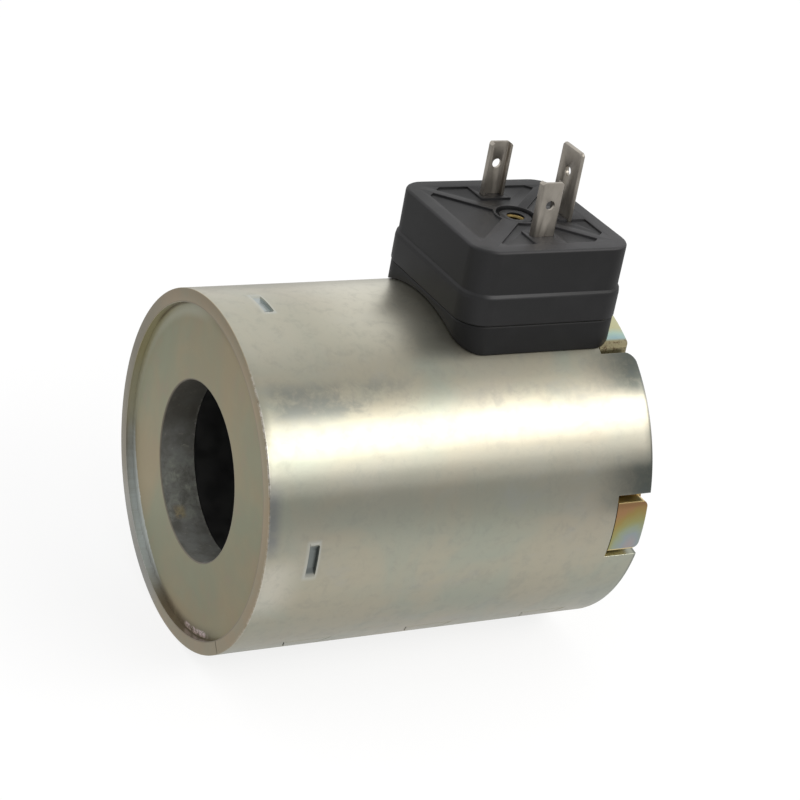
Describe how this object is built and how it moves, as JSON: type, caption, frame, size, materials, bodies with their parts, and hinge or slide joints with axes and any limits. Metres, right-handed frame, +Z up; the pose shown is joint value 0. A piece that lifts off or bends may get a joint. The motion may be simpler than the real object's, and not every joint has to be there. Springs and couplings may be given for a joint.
{
  "type": "solenoid valve coil",
  "caption": "Round encapsulated coil in a rolled steel case with flux plates, a through bore for a valve's core tube and a square plug base with flat contacts on top.",
  "frame": {"origin": "on the bore axis, in the outer face of the front flux plate", "axes": "+X along the bore from the front face to the rear face, +Z up through the plug base"},
  "size_m": [0.0738, 0.063, 0.0901],
  "materials": {
    "zinc_plated_case": "satin",
    "zinc_plated_plate": "satin",
    "yellow_passivated_plate": "satin",
    "bobbin_nylon": "matte",
    "enamelled_wire": "gloss",
    "polyester_tape": "gloss",
    "seal_rubber": "matte",
    "sleeve_rubber": "matte",
    "tinned_brass": "satin",
    "overmould_nylon": "satin",
    "plug_base_nylon": "satin",
    "nickelled_contact": "satin",
    "insert_brass": "satin"
  },
  "bodies": {
    "root": {"housing_tube": "zinc_plated_case", "front_flux_plate": "zinc_plated_plate", "rear_flux_plate": "yellow_passivated_plate", "bobbin": "bobbin_nylon", "winding": "enamelled_wire", "winding_tape": "polyester_tape", "front_seal_ring": "seal_rubber", "rear_seal_ring": "seal_rubber", "start_lead": "enamelled_wire", "finish_lead": "enamelled_wire", "start_lead_sleeve": "sleeve_rubber", "finish_lead_sleeve": "sleeve_rubber", "crimp_ferrules": "tinned_brass", "coil_overmould": "overmould_nylon", "connector_base": "plug_base_nylon", "line_contact_1": "nickelled_contact", "line_contact_2": "nickelled_contact", "earth_contact": "nickelled_contact", "earth_strap": "tinned_brass", "screw_insert": "insert_brass"}
  },
  "joints": []
}
